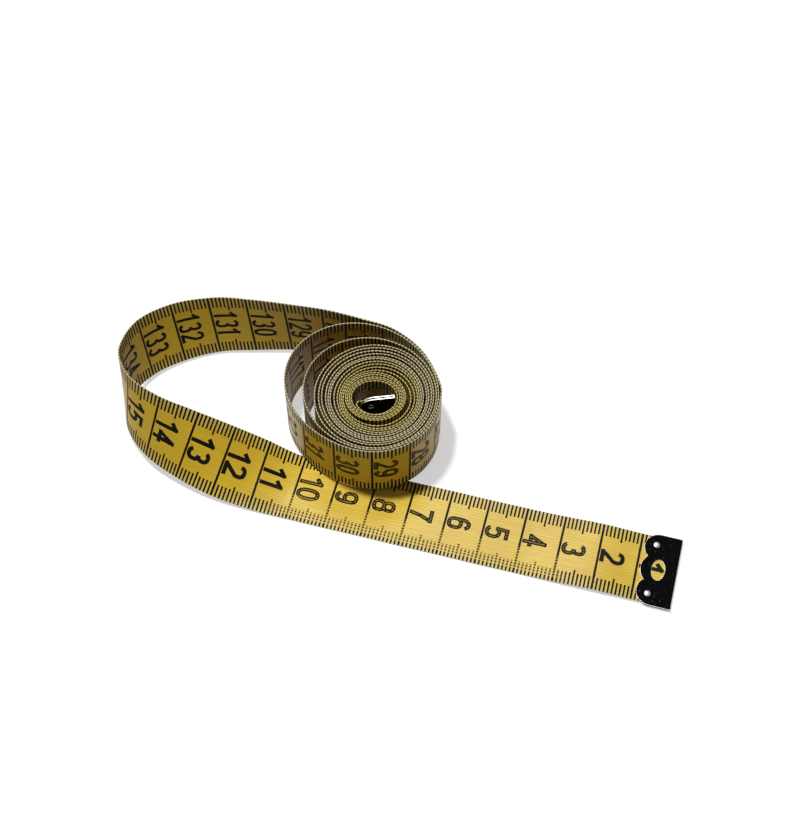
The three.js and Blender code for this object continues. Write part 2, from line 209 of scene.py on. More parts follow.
def coil_feet(turned):
    """Points of the coil's lower edge, turned clockwise from its right-hand side."""
    loops, angle = turned / (2 * math.pi), -turned
    radius = CORE_RADIUS + TIGHT_PITCH * (COIL_LOOPS - loops)
    radius += uneven_growth(angle) * (1 - loops / COIL_LOOPS)
    slack = SLACK_FIRST * np.maximum(0, 1 - loops / SLACK_LOOPS) ** SLACK_FALL
    radius += slack * facing(angle, SLACK_TOWARDS) ** SLACK_SHARPNESS
    for loop, size, side in OPENINGS:
        # each gap begins where it is closed, opposite its open side
        begins = loop + (-(side / 360 + 0.5)) % 1
        outside = smoothstep((begins - loops) / (2 * OPENING_FADE) + 0.5)
        radius += size * facing(angle, math.radians(side)) * outside
    oval = smoothstep((loops - OVAL_FIRST) / (OVAL_LAST - OVAL_FIRST))
    oval *= 1 - smoothstep((loops - OVAL_LAST) / (COIL_LOOPS - OVAL_LAST))
    radius += OVAL * oval * np.cos(2 * angle)
    x = COIL_CENTRE[0] + radius * np.cos(angle)
    y = COIL_CENTRE[1] + radius * np.sin(angle)
    uneven = LOOP_RISE * np.sin(RISE_PACE * loops) ** 2
    uneven *= smoothstep((COIL_LOOPS - loops) / RISE_FADE)
    return np.stack((x, y, coil_height(y) + uneven), axis=-1)


# %% The straight end across the hollow
CORE_BEND_RADIUS = 0.8 * MM
CORE_SHIFT = 0.7 * MM  # the straight end passes this far in front of the middle
CORE_EARLY = math.radians(9.4)  # the innermost loop stops this much short of its turn
COIL_END = 2 * math.pi * COIL_LOOPS - CORE_EARLY
BEND_SAMPLES, CHORD_SAMPLES = 40, 60


def core_run():
    """From the innermost loop the ribbon turns in and runs straight past the middle."""
    end = coil_feet(np.array([COIL_END]))[0]
    outward = np.array([end[0] - COIL_CENTRE[0], end[1] - COIL_CENTRE[1], 0])
    reach = np.linalg.norm(outward)
    outward /= reach
    along = np.array([outward[1], -outward[0], 0])
    bend = math.acos(-(CORE_BEND_RADIUS + CORE_SHIFT) / (reach - CORE_BEND_RADIUS))
    turned = np.linspace(0, bend, BEND_SAMPLES)[1:, None]
    spoke = outward * np.cos(turned) + along * np.sin(turned)
    curve = end - outward * CORE_BEND_RADIUS + spoke * CORE_BEND_RADIUS
    heading = along * math.cos(bend) - outward * math.sin(bend)
    middle = np.array([*COIL_CENTRE, end[2]]) - spoke[-1] * CORE_SHIFT
    fold = middle + heading * (CORE_RADIUS - SOLID_THICKNESS)
    share = np.linspace(0, 1, CHORD_SAMPLES)[1:, None]
    chord = curve[-1] + (fold - heading * END_INSET - curve[-1]) * share
    return np.concatenate((curve, chord)), fold, heading


print("the innermost loop ends after", round(COIL_END / (2 * math.pi), 2), "loops")

# %% [markdown]
# ## From points to a surface
#
# The curve through the points is a Catmull-Rom spline, which passes through every point. From the lower
# edge, the lean and the rake come the middle line of the ribbon and the direction across it, at
# thousands of places. Distances are counted along the middle line, in printed centimetres: the points
# of the free run are one apart, and the coil takes what is left.

# %% The whole ribbon as a table of places
SAMPLES_PER_POINT = 120
COIL_SAMPLES = 14000
COIL_START_CM = 26.39  # the printed scale where the run-in meets the coil
ON_EDGE = (90, 0)  # lean and rake of the run-in and the coil


def spline(points, places):
    """A uniform Catmull-Rom spline through points, at places counted in points."""
    ends = np.concatenate(([2 * points[0] - points[1]], points, [2 * points[-1] - points[-2]]))
    first = np.clip(np.floor(places).astype(int), 0, len(points) - 2)
    t = (places - first)[:, None]
    before, start, end, after = (ends[first + k] for k in range(4))
    leave, arrive = (end - before) / 2, (after - start) / 2
    cubic = (2 * start - 2 * end + leave + arrive) * t**3
    square = (3 * end - 3 * start - 2 * leave - arrive) * t**2
    return cubic + square + leave * t + start


def lead_point(degrees, past):
    angle = math.radians(degrees)
    x = COIL_CENTRE[0] + (COIL_RADIUS + past) * math.cos(angle)
    y = COIL_CENTRE[1] + (COIL_RADIUS + past) * math.sin(angle)
    return (x, y, float(coil_height(y)), *ON_EDGE)


def unit(vectors):
    return vectors / np.linalg.norm(vectors, axis=-1, keepdims=True)


def lay_ribbon():
    """Middle line, direction across and distance along, at closely spaced places."""
    start = coil_feet(np.array([0.0, POINT_SPACING / COIL_RADIUS]))
    steering = [(*foot, *ON_EDGE) for foot in start]
    points = np.array([*FREE_RUN, *(lead_point(*lead) for lead in LEAD_IN), *steering])
    last = len(points) - 2
    run = spline(points, np.linspace(0, last, last * SAMPLES_PER_POINT + 1))
    loops = coil_feet(np.linspace(0, COIL_END, COIL_SAMPLES))[1:]
    core, fold, chord = core_run()
    feet = np.concatenate((run[:, :3], loops, core))
    feet[:, 2] = np.maximum(feet[:, 2], 0)
    lean, rake = np.full((len(feet), 1), math.pi / 2), np.zeros((len(feet), 1))
    lean[: len(run), 0] = np.radians(np.maximum(run[:, 3], 0))
    rake[: len(run), 0] = np.radians(run[:, 4])
    heading = unit(np.gradient(feet, axis=0))
    forward = unit(heading * (1, 1, 0))
    inward = np.stack((forward[:, 1], -forward[:, 0], forward[:, 2]), axis=1)
    upright = inward * np.cos(lean) + np.array([0, 0, 1]) * np.sin(lean)
    across = upright * np.cos(rake) - forward * np.sin(rake)
    lying = np.abs(unit(np.cross(across, heading))[:, 2])
    middle = feet + across * WIDTH / 2
    middle[:, 2] += np.maximum(lying * SOLID_THICKNESS / 2, lying * CLOTH_THICKNESS / 2 - feet[:, 2])
    step = np.linalg.norm(np.diff(middle, axis=0), axis=1)
    length = np.concatenate(([0], np.cumsum(step)))
    print("ribbon laid:", round((length[-1] + END_INSET) / MM, 1), "mm from fold to fold")
    known = [k * SAMPLES_PER_POINT for k in range(len(FREE_RUN))] + [len(run) - 1, len(feet) - 1]
    printed = [*range(len(FREE_RUN)), COIL_START_CM, LENGTH_CM - END_INSET / POINT_SPACING]
    along = np.interp(length, length[known], np.array(printed) * POINT_SPACING)
    return {"along": along, "middle": middle, "across": across, "fold": fold, "chord": chord}


ribbon = lay_ribbon()

# %% Points on the ribbon's faces
slopes = {
    name: np.gradient(ribbon[name], ribbon["along"], axis=0) for name in ("middle", "across")
}


def looked_up(table, along):
    return np.stack([np.interp(along, ribbon["along"], table[:, k]) for k in range(3)], axis=1)


def on_ribbon(along, over):
    """Middle-plane points and face normals, at distances along and over from the lower edge."""
    off = (over - WIDTH / 2)[:, None]
    across = unit(looked_up(ribbon["across"], along))
    points = looked_up(ribbon["middle"], along) + across * off
    heading = looked_up(slopes["middle"], along) + looked_up(slopes["across"], along) * off
    return points, unit(np.cross(across, heading)), across


print("the zero end lies at", looked_up(ribbon["middle"], np.array([0.0]))[0].round(4), "m")

# %% [markdown]
# ## The printed scale
#
# The scale is printed on the cloth, so it has no thickness of its own. Drawing it as a picture would
# need an image file, and floating thin letters over the cloth would leave thousands of loose scraps. So
# the ink is set into the surface instead: the face of each centimetre is cut along the outlines of its
# marks, and the faces inside the outlines get the ink. The figures are plain, bold and narrow. Each is
# drawn here as a few strokes of one width, straight lines and bows, because a stroke keeps its width
# where three figures have to stand closer than two. In some figures, a narrow strip along the middle of
# each stroke is set apart for a painted highlight, which stands for the gloss of the ink there.

# %% Strokes of the ten figures
BOW_STEP = 18  # degrees
BOW_SQUARE = 0.8  # below 1, a bow is fuller at its shoulders than an ellipse


def bow(centre, half_width, half_height, first, last):
    """Points of a bow round (0, centre), from one angle to another."""
    angles = np.radians(np.linspace(first, last, 1 + round(abs(last - first) / BOW_STEP)))
    full = [np.sign(part) * np.abs(part) ** BOW_SQUARE for part in (np.cos(angles), np.sin(angles))]
    return [(half_width * x, centre + half_height * y) for x, y in zip(*full)]


def ring(*size):
    return [bow(*size, 0, 180), bow(*size, 180, 360)]


# middle lines in a box from -0.5 to 0.5 across and from 0 to 1 up
FIGURE_LINES = {
    "0": ring(0.5, 0.5, 0.5),
    "1": [[(0.12, 0), (0.12, 1)], [(0.12, 1), (-0.36, 0.80)]],
    "2": [bow(0.72, 0.5, 0.28, 172, -26) + [(-0.42, 0.06)], [(-0.5, 0), (0.5, 0)]],
    "3": [bow(0.76, 0.46, 0.24, 160, -90), bow(0.26, 0.5, 0.26, 90, -160)],
    "4": [[(0.2, 0), (0.2, 1)], [(0.17, 0.97), (-0.47, 0.30)], [(-0.5, 0.27), (0.5, 0.27)]],
    "5": [[(0.44, 1), (-0.36, 1)], [(-0.36, 1), (-0.44, 0.52)], bow(0.31, 0.5, 0.31, 140, -155)],
    "6": [bow(0.5, 0.5, 0.5, 36, 180) + [(-0.5, 0.3)], *ring(0.3, 0.5, 0.3)],
    "7": [[(-0.5, 1), (0.5, 1)], [(0.48, 0.98), (0.06, 0.46), (-0.12, 0)]],
    "8": ring(0.76, 0.44, 0.24) + ring(0.26, 0.5, 0.26),
}
FIGURE_LINES["9"] = [[(-x, 1 - y) for x, y in line] for line in FIGURE_LINES["6"]]


def stroke(line, width):
    """The outline of a stroke along a line. A straight one reaches half its width past its ends."""
    points = np.array(line, float)
    leg = unit(np.diff(points, axis=0))
    if len(points) <= 3:
        points[0] -= leg[0] * width / 2
        points[-1] += leg[-1] * width / 2
    before, after = np.concatenate((leg[:1], leg)), np.concatenate((leg, leg[-1:]))
    way = unit(before + after)
    half = width / 2 / np.sum(way * after, axis=1, keepdims=True)
    side = np.stack((-way[:, 1], way[:, 0]), axis=1) * half
    return np.concatenate((points - side, (points + side)[::-1]))


print("strokes in each figure:", {name: len(lines) for name, lines in FIGURE_LINES.items()})

# %% One printed centimetre
TICK_WIDTH, TICK_LENGTH, HALF_TICK_LENGTH = 0.48 * MM, 3.4 * MM, 4.3 * MM
LINE_WIDTH = 0.6 * MM
EDGE_ROUND = 0.1 * MM
BOTTOM, TOP = EDGE_ROUND, WIDTH - EDGE_ROUND  # where the face ends and the round of the edge begins
FIGURE_HEIGHT, FIGURE_BASE = 6.3 * MM, 0.45 * MM
FIGURE_SHIFT = 0.5 * MM  # from the middle of the ribbon towards its upper edge
FIGURE_STEP = {1: 4.1 * MM, 2: 4.1 * MM, 3: 3.25 * MM}
FIGURE_STROKE = {1: 1.1 * MM, 2: 1.1 * MM, 3: 0.88 * MM}
FIGURE_GAP = 0.42 * MM
NARROW_ONE = 0.84
# painted highlight: these figures get paler middles in their strokes, for the gloss on their ink
HOLLOW_FIGURES = (*range(3, 11), *range(28, 32))
HOLLOW_SHARE = 0.2  # of a stroke's width, the strip along its middle that gets a painted highlight
CLOTH, INK, INK_WITH_HIGHLIGHT, EDGE = range(4)
CM = 10 * MM
TICKS, HALF_TICK = range(1, 10), 5
NEAR = 1e-9  # metres between places that count as one
CUT_SCALE, CUT_NEAR = 1 / MM, 1e-5  # the cutter works in millimetres


def rectangle(left, right, low, high):
    return [(left, low), (right, low), (right, high), (left, high)]


def marks_of(number):
    """Outlines of the ink of one centimetre, along and over, and of the painted highlights in its
    figures.
    """
    highlight_strips = []
    marks = [rectangle(0, LINE_WIDTH / 2, BOTTOM, TOP), rectangle(CM - LINE_WIDTH / 2, CM, BOTTOM, TOP)]
    for tick in TICKS:
        left, right = tick * MM - TICK_WIDTH / 2, tick * MM + TICK_WIDTH / 2
        length = HALF_TICK_LENGTH if tick == HALF_TICK else TICK_LENGTH
        marks.append(rectangle(left, right, BOTTOM, length))
        marks.append(rectangle(left, right, WIDTH - length, TOP))
    text = str(number)
    step, width = FIGURE_STEP[len(text)], FIGURE_STROKE[len(text)]
    room = [step * (NARROW_ONE if figure == "1" else 1) for figure in text]
    box = np.array([step - FIGURE_GAP - width, FIGURE_HEIGHT - width])
    reader_left = WIDTH / 2 + FIGURE_SHIFT + sum(room) / 2
    for place, figure in enumerate(text):
        centre = reader_left - sum(room[:place]) - room[place] / 2
        for line in FIGURE_LINES[figure]:
            for share, outlines in ((1, marks), (HOLLOW_SHARE, highlight_strips)):
                outline = stroke(line * box + [0, width / 2], width * share)
                # the figure is turned over on its way to the ribbon, so its corners are taken backwards
                outlines.append([(CM - FIGURE_BASE - y, centre - x) for x, y in outline[::-1]])
    return marks, highlight_strips if number in HOLLOW_FIGURES else []


def rungs(low, high):
    """Where the edge of a centimetre is divided: at its ticks, and halfway between them."""
    places = {low, high, LINE_WIDTH / 2, CM - LINE_WIDTH / 2}
    for tick in TICKS:
        places |= {tick * MM - TICK_WIDTH / 2, tick * MM + TICK_WIDTH / 2}
    places |= {(tick + 0.5) * MM for tick in (0, *TICKS)}
    return sorted(place for place in places if low - NEAR <= place <= high + NEAR)


def printed_cell(number, low=0.0, high=CM):
    """One centimetre of the face, cut along its marks: points, triangles, and what covers them."""
    points, edges, faces = [], [], []
    for place in rungs(low, high):
        # a cut right across at both ends and halfway between ticks lets the cell bend
        if place in (low, high) or abs(place % MM - MM / 2) < NEAR:
            edges.append((len(points), len(points) + 1))
        points += [(place, BOTTOM), (place, TOP)]
    kinds = []
    for kind, outlines in zip((INK, INK_WITH_HIGHLIGHT), marks_of(number)):
        for outline in outlines:
            ends = [along for along, _ in outline]
            if min(ends) < low - NEAR or max(ends) > high + NEAR:
                continue
            kinds.append(kind)
            faces.append(tuple(range(len(points), len(points) + len(outline))))
            points += outline
    scaled = [Vector(point) * CUT_SCALE for point in points]
    made = geometry.delaunay_2d_cdt(scaled, edges, faces, 0, CUT_NEAR, True)
    corners, _, triangles, _, _, sources = made
    spots = np.array([corner[:2] for corner in corners]) / CUT_SCALE
    # where a strip with a painted highlight lies in a stroke, the strip counts
    cover = [max((kinds[outline] for outline in source), default=CLOTH) for source in sources]
    return spots, [tuple(face) for face in triangles], cover


sample = printed_cell(88)
print("points and faces of one printed centimetre:", len(sample[0]), len(sample[1]))

# %% [markdown]
# ## The cloth, its ink and its edge
#
# The tape is a woven ribbon under a thin yellow coating. The coating leaves the threads to be felt, as
# fine ribs along the ribbon and finer ones across. Where the zero end lies flat, the yellow is painted
# paler, as painted light for the gloss that it catches there. The ink is a black that sits on the ribs.
# Painted highlights stand for its gloss: there the ink thins out in the furrows between the ribs, so
# that along the near edge of the flat stretch the ticks break up into dots, and some figures show the
# cloth along the middles of their strokes. The cut edge is paler than the faces, because the coating is
# thin on it, and the millimetre marks wrap over it as dark dashes. All four materials read one map that
# holds millimetres along and across the ribbon, so the weave and the painted highlights follow every
# bend.

# %% Helpers for materials
def linear(code):
    """An sRGB hex colour as the linear numbers that Blender's sockets take."""
    parts = [int(code[k : k + 2], 16) / 255 for k in (1, 3, 5)]
    return (*(c / 12.92 if c <= 0.04045 else ((c + 0.055) / 1.055) ** 2.4 for c in parts), 1)


def add_node(tree, kind, inputs, **settings):
    """Adds one node with its settings. An input is a value, or the socket that feeds it."""
    made = tree.nodes.new(kind)
    for name, value in settings.items():
        setattr(made, name, value)
    for name, value in inputs.items():
        if isinstance(value, bpy.types.NodeSocket):
            tree.links.new(value, made.inputs[name])
        else:
            made.inputs[name].default_value = value
    return made


def new_material(name):
    """A material with its node tree and its main shader."""
    material = bpy.data.materials.new(name)
    material.use_nodes = True
    return material, material.node_tree, material.node_tree.nodes["Principled BSDF"]


def set_values(shader, **values):
    for name, value in values.items():
        shader.inputs[name.replace("_", " ")].default_value = value


# %% Threads of the weave
RIB_SPACING = 0.8  # millimetres across the ribbon, drawn coarser than the real threads, to show
WEFT_SPACING = 0.5  # millimetres along it
RIB_BUMP, WEFT_BUMP = 0.022 * MM, 0.008 * MM
WOBBLE_SIZE, WOBBLE = 20 / 7, 0.35  # millimetres: how long a bend in a thread is, and how far it goes
WAVE_PERIOD = math.pi / 10  # a wave texture of scale 1 repeats after this length


def weave(tree):
    """The millimetre map, the rib pattern, and the bump of ribs and weft together."""
    place = add_node(tree, "ShaderNodeUVMap", {}, uv_map="millimetres").outputs["UV"]
    shift = add_node(tree, "ShaderNodeTexNoise", {
        "Vector": place, "Scale": 1 / WOBBLE_SIZE, "Detail": 1.0})
    wobble = add_node(tree, "ShaderNodeVectorMath", {
        0: shift.outputs["Color"], 1: (0, WOBBLE, 0)}, operation="MULTIPLY")
    bent = add_node(tree, "ShaderNodeVectorMath", {0: place, 1: wobble.outputs[0]}).outputs[0]
    ribs = add_node(tree, "ShaderNodeTexWave", {
        "Vector": bent, "Scale": WAVE_PERIOD / RIB_SPACING}, bands_direction="Y")
    weft = add_node(tree, "ShaderNodeTexWave", {
        "Vector": bent, "Scale": WAVE_PERIOD / WEFT_SPACING}, bands_direction="X")
    fine = add_node(tree, "ShaderNodeBump", {
        "Height": weft.outputs["Fac"], "Distance": WEFT_BUMP, "Strength": 1.0})
    bump = add_node(tree, "ShaderNodeBump", {
        "Height": ribs.outputs["Fac"], "Distance": RIB_BUMP, "Strength": 1.0,
        "Normal": fine.outputs["Normal"]})
    return place, ribs.outputs["Fac"], bump.outputs["Normal"]


# %% Coated cloth
CLOTH_YELLOW, CLOTH_DEEP, CLOTH_PALE = "#D6B432", "#C9A42A", "#D8C57E"
# painted light: where the zero end lies flat, its yellow is painted paler for the gloss it catches there
PAINTED_LIGHT_YELLOW, PAINTED_LIGHT_DEEP, PAINTED_LIGHT_SHARE = "#EFD05A", "#D5B03A", 0.85
PAINTED_LIGHT_TO, PAINTED_LIGHT_END = 97, 113  # millimetres along the ribbon
STREAK = (0.06, 1.6, 1.0)  # turns a noise of 1 mm into streaks along the threads
CLOUD_SIZE = 20  # millimetres
RIB_SHARE = 0.3  # how much of the streaks follows the ribs
DEEPEST, LIGHTEST = 0.8, 1.5  # of streaks, clouds and ribs added up
BAND, BAND_SHARE = 3.4, 0.6  # millimetres from the edge over which the coating is paler, and how much


def cloth_colour(tree, place, ribs):
    """Yellow with streaks along the threads, painted paler as painted light where the zero end lies
    flat, and paler towards both edges.
    """
    drawn = add_node(tree, "ShaderNodeMapping", {"Vector": place, "Scale": STREAK}).outputs["Vector"]
    streaks = add_node(tree, "ShaderNodeTexNoise", {"Vector": drawn, "Scale": 1.0, "Detail": 4.0})
    clouds = add_node(tree, "ShaderNodeTexNoise", {
        "Vector": place, "Scale": 1 / CLOUD_SIZE, "Detail": 2.0})
    both = add_node(tree, "ShaderNodeMath", {
        0: streaks.outputs["Fac"], 1: clouds.outputs["Fac"]}, operation="ADD")
    ribbed = add_node(tree, "ShaderNodeMath", {
        0: ribs, 1: RIB_SHARE, 2: both.outputs[0]}, operation="MULTIPLY_ADD")
    share = add_node(tree, "ShaderNodeMapRange", {
        "Value": ribbed.outputs[0], "From Min": DEEPEST, "From Max": LIGHTEST})
    body, pale = (
        add_node(tree, "ShaderNodeMix", {
            "Factor": share.outputs[0], "A": linear(deep), "B": linear(light)}, data_type="RGBA")
        for deep, light in ((CLOTH_DEEP, CLOTH_YELLOW), (PAINTED_LIGHT_DEEP, PAINTED_LIGHT_YELLOW))
    )
    axes = add_node(tree, "ShaderNodeSeparateXYZ", {"Vector": place}).outputs
    # painted light: the yellow turns paler towards the zero end, where the ribbon lies flat
    painted_light_fade = add_node(tree, "ShaderNodeMapRange", {
        "Value": axes["X"], "From Min": PAINTED_LIGHT_END, "From Max": PAINTED_LIGHT_TO, "To Max": PAINTED_LIGHT_SHARE})
    painted_light_body = add_node(tree, "ShaderNodeMix", {
        "Factor": painted_light_fade.outputs[0], "A": body.outputs["Result"], "B": pale.outputs["Result"]},
        data_type="RGBA")
    half = WIDTH / 2 / MM
    far = add_node(tree, "ShaderNodeMath", {0: axes["Y"], 1: half}, operation="SUBTRACT")
    away = add_node(tree, "ShaderNodeMath", {0: far.outputs[0]}, operation="ABSOLUTE")
    rim = add_node(tree, "ShaderNodeMapRange", {
        "Value": away.outputs[0], "From Min": half - BAND, "From Max": half, "To Max": BAND_SHARE})
    edged = add_node(tree, "ShaderNodeMix", {
        "Factor": rim.outputs[0], "A": painted_light_body.outputs["Result"], "B": linear(CLOTH_PALE)},
        data_type="RGBA")
    return edged.outputs["Result"]


def coated_cloth():
    """A closed, slightly glossy skin over the threads, whose ribs break up its shine."""
    material, tree, shader = new_material("coated_cloth_yellow")
    place, ribs, normal = weave(tree)
    tree.links.new(cloth_colour(tree, place, ribs), shader.inputs["Base Color"])
    tree.links.new(normal, shader.inputs["Normal"])
    set_values(shader, Roughness=0.28, IOR=1.5, Specular_IOR_Level=0.12)
    return material


# %% Printing ink
INK_BLACK = "#0D0A06"
# how high the ribs are where the ink begins to thin, and where the cloth shows
TICK_FURROW, HIGHLIGHT_FURROW = (0.5, 0.35), (0.85, 0.45)
# painted highlight on the ticks and lines along the near edge of the flat stretch: for each side of that
# field, the axis along (X) or over (Y) the ribbon, and the millimetres where it begins and where it is
# full
TICK_HIGHLIGHT_FIELD = (("Y", 8.0, 6.0), ("Y", 0.8, 1.3), ("X", 26, 32), ("X", 107, 99))
TICKS_BARE = 0.85
# the painted highlight in the middles of strokes grows from one millimetre along the ribbon to another
HOLLOW_FROM, HOLLOW_TO, HOLLOW_LEAST, HOLLOW_MOST = 30, 75, 0.4, 0.5


def tick_wear(tree, axes):
    """How strong the painted highlight on the ticks is, along the near edge of the flat stretch."""
    bare = TICKS_BARE
    for axis, begins, full in TICK_HIGHLIGHT_FIELD:
        bare = add_node(tree, "ShaderNodeMapRange", {
            "Value": axes[axis], "From Min": begins, "From Max": full, "To Max": bare}).outputs[0]
    return bare


def hollow_wear(tree, axes):
    """How strong the painted highlight in the middles of the strokes is."""
    return add_node(tree, "ShaderNodeMapRange", {
        "Value": axes["X"], "From Min": HOLLOW_FROM, "From Max": HOLLOW_TO, "To Min": HOLLOW_LEAST,
        "To Max": HOLLOW_MOST}).outputs[0]


def printing_ink(name, highlight_of, furrow):
    """A matt black that sits on the ribs. Under a painted highlight, the cloth shows in the furrows."""
    material, tree, shader = new_material(name)
    place, ribs, normal = weave(tree)
    axes = add_node(tree, "ShaderNodeSeparateXYZ", {"Vector": place}).outputs
    # painted highlight: where it lies, the cloth's colour takes the place of the ink in the furrows
    bare = add_node(tree, "ShaderNodeMapRange", {
        "Value": ribs, "From Min": furrow[0], "From Max": furrow[1], "To Max": highlight_of(tree, axes)})
    mixed = add_node(tree, "ShaderNodeMix", {
        "Factor": bare.outputs[0], "A": linear(INK_BLACK), "B": cloth_colour(tree, place, ribs)},
        data_type="RGBA")
    tree.links.new(mixed.outputs["Result"], shader.inputs["Base Color"])
    tree.links.new(normal, shader.inputs["Normal"])
    set_values(shader, Roughness=0.5, IOR=1.5, Specular_IOR_Level=0.06)
    return material


# %% The cut edge
EDGE_CREAM, EDGE_SHADE, EDGE_INNER, EDGE_INK = "#E8E0BE", "#C4B67A", "#CFBC62", "#1E180D"
INNER_FIRST, INNER_LAST, INNER_SHARE = 1000, 1150, 0.75  # the first two in millimetres along the ribbon
DASH_FULL, DASH_END = 0.10, 0.21  # millimetres from the middle of a mark that wraps over the edge
DASH_DARK = 0.85
THREAD_PATCH = 10 / 9  # millimetres, a patch of lighter threads


def cut_edge():
    """Cream threads, yellower in the innermost loops, with the end of each millimetre mark."""
    material, tree, shader = new_material("coated_cloth_edge")
    place = add_node(tree, "ShaderNodeUVMap", {}, uv_map="millimetres").outputs["UV"]
    threads = add_node(tree, "ShaderNodeTexNoise", {
        "Vector": place, "Scale": 1 / THREAD_PATCH, "Detail": 3.0})
    mixed = add_node(tree, "ShaderNodeMix", {
        "Factor": threads.outputs["Fac"], "A": linear(EDGE_SHADE), "B": linear(EDGE_CREAM)},
        data_type="RGBA")
    along = add_node(tree, "ShaderNodeSeparateXYZ", {"Vector": place}).outputs["X"]
    within = add_node(tree, "ShaderNodeMapRange", {
        "Value": along, "From Min": INNER_FIRST, "From Max": INNER_LAST, "To Max": INNER_SHARE})
    inner = add_node(tree, "ShaderNodeMix", {
        "Factor": within.outputs[0], "A": mixed.outputs["Result"], "B": linear(EDGE_INNER)},
        data_type="RGBA")
    # goes up and down between 0, on a whole millimetre, and a half
    off_mark = add_node(tree, "ShaderNodeMath", {0: along, 1: 0.5}, operation="PINGPONG")
    dash = add_node(tree, "ShaderNodeMapRange", {
        "Value": off_mark.outputs[0], "From Min": DASH_END, "From Max": DASH_FULL, "To Max": DASH_DARK})
    marked = add_node(tree, "ShaderNodeMix", {
        "Factor": dash.outputs[0], "A": inner.outputs["Result"], "B": linear(EDGE_INK)},
        data_type="RGBA")
    tree.links.new(marked.outputs["Result"], shader.inputs["Base Color"])
    set_values(shader, Roughness=0.7, IOR=1.5, Specular_IOR_Level=0.2)
    return material


cloth_materials = [
    coated_cloth(),
    printing_ink("printing_ink_black", tick_wear, TICK_FURROW),
    printing_ink("printing_ink_painted_highlight", hollow_wear, HIGHLIGHT_FURROW),
    cut_edge(),
]
print("materials:", [material.name for material in cloth_materials])

# %% [markdown]
# ## The ribbon, in four pieces
#
# The real ribbon is one length. Here it is cut at three printed lines, because it has to bend at three
# places when the object moves, and a piece can bend between two bodies only. Each piece has both
# printed faces and a rounded edge between them. Its points carry the true normals of the surface, so
# that the many small faces round the figures don't show in the gloss.

# %% Build a stretch of ribbon
KEYS_PER_METRE = 1e8
PLACE_DIGITS = 9


def key_of(along, over):
    """Two whole numbers, the same for points that lie together."""
    return round(along * KEYS_PER_METRE), round(over * KEYS_PER_METRE)


def joined(cells, offsets, sign):
    """Cells put end to end: points along and over, triangles, and what covers them."""
    index, points, triangles, cover = {}, [], [], []
    for (spots, faces, kinds), offset in zip(cells, offsets):
        numbers = []
        for along, over in spots:
            spot = (offset + sign * along, over)
            key = key_of(*spot)
            if key not in index:
                index[key] = len(points)
                points.append(spot)
            numbers.append(index[key])
        triangles += [tuple(numbers[k] for k in face) for face in faces]
        cover += kinds
    return index, np.array(points), triangles, cover


def ends_of(number):
    """Where a printed centimetre begins and ends: the first and the last stop short of a fold."""
    return END_INSET if number == 1 else 0.0, CM - END_INSET if number == LENGTH_CM else CM


def printed_sides(first, last):
    """Both printed faces between two centimetres: the far face counts from the other end."""
    sides = []
    for sign in (1, -1):
        cells, offsets = [], []
        for cm in range(first, last):
            number = cm + 1 if sign > 0 else LENGTH_CM - cm
            cells.append(printed_cell(number, *ends_of(number)))
            offsets.append((cm if sign > 0 else cm + 1) * CM)
        sides.append(joined(cells, offsets, sign))
    return sides


def edge_places(first, last):
    """Where the edge is divided along a stretch."""
    places = {round(cm * CM + place, PLACE_DIGITS)
              for cm in range(first, last) for place in rungs(*ends_of(cm + 1))}
    return sorted(places)


def ribbon_mesh(name, first, last):
    """A closed stretch of ribbon with the print set into both faces."""
    points, normals, flat, faces, slots = [], [], [], [], []
    corner = []
    for side, (index, spots, triangles, cover) in zip((1, -1), printed_sides(first, last)):
        base = len(points)
        middle, normal, _ = on_ribbon(spots[:, 0], spots[:, 1])
        points += list(middle + normal * side * CLOTH_THICKNESS / 2)
        normals += list(normal * side)
        flat += list(spots / MM)
        faces += [tuple(base + k for k in reversed(face)) for face in triangles]
        slots += cover
        corner.append({key: base + number for key, number in index.items()})
    places = edge_places(first, last)
    rows = {}
    for over, rim, outward in ((0.0, BOTTOM, -1), (WIDTH, TOP, 1)):
        middle, _, across = on_ribbon(np.array(places), np.full(len(places), over))
        keys = [key_of(place, rim) for place in places]
        line = [len(points) + k for k in range(len(places))]
        points += list(middle)
        normals += list(across * outward)
        flat += [(place / MM, over / MM) for place in places]
        rows[outward] = ([corner[0][key] for key in keys], line, [corner[1][key] for key in keys])
    for outward, (upper, line, lower) in rows.items():
        for start, end in ((upper, line), (line, lower)):
            for k in range(len(places) - 1):
                quad = (start[k], start[k + 1], end[k + 1], end[k])
                faces.append(quad[::-1] if outward > 0 else quad)
                slots.append(EDGE)
    for k, turn in ((0, 1), (-1, -1)):
        cap = [row[k] for row in (*rows[-1], *reversed(rows[1]))]
        faces.append(tuple(cap[::turn]))
        slots.append(EDGE)
    return add_mesh(name, points, normals, flat, faces, slots)


def add_mesh(name, points, normals, flat, faces, slots):
    mesh = bpy.data.meshes.new(name)
    mesh.from_pydata([tuple(point) for point in points], [], faces)
    for material in cloth_materials:
        mesh.materials.append(material)
    mesh.polygons.foreach_set("material_index", slots)
    mesh.polygons.foreach_set("use_smooth", [True] * len(faces))
    layer = mesh.uv_layers.new(name="millimetres")
    corners = np.zeros(len(mesh.loops), int)
    mesh.loops.foreach_get("vertex_index", corners)
    layer.data.foreach_set("uv", np.array(flat, np.float32)[corners].ravel())
    mesh.validate()
    mesh.update()
    mesh.normals_split_custom_set_from_vertices([tuple(normal) for normal in normals])
    piece = bpy.data.objects.new(name, mesh)
    bpy.context.scene.collection.objects.link(piece)
    print(name, "has", len(mesh.polygons), "faces")
    return piece


# %% Make the stretches, and hang the coil's stretch on the coil's body
def place_at(cm):
    return tuple(looked_up(ribbon["middle"], np.array([cm * CM]))[0])


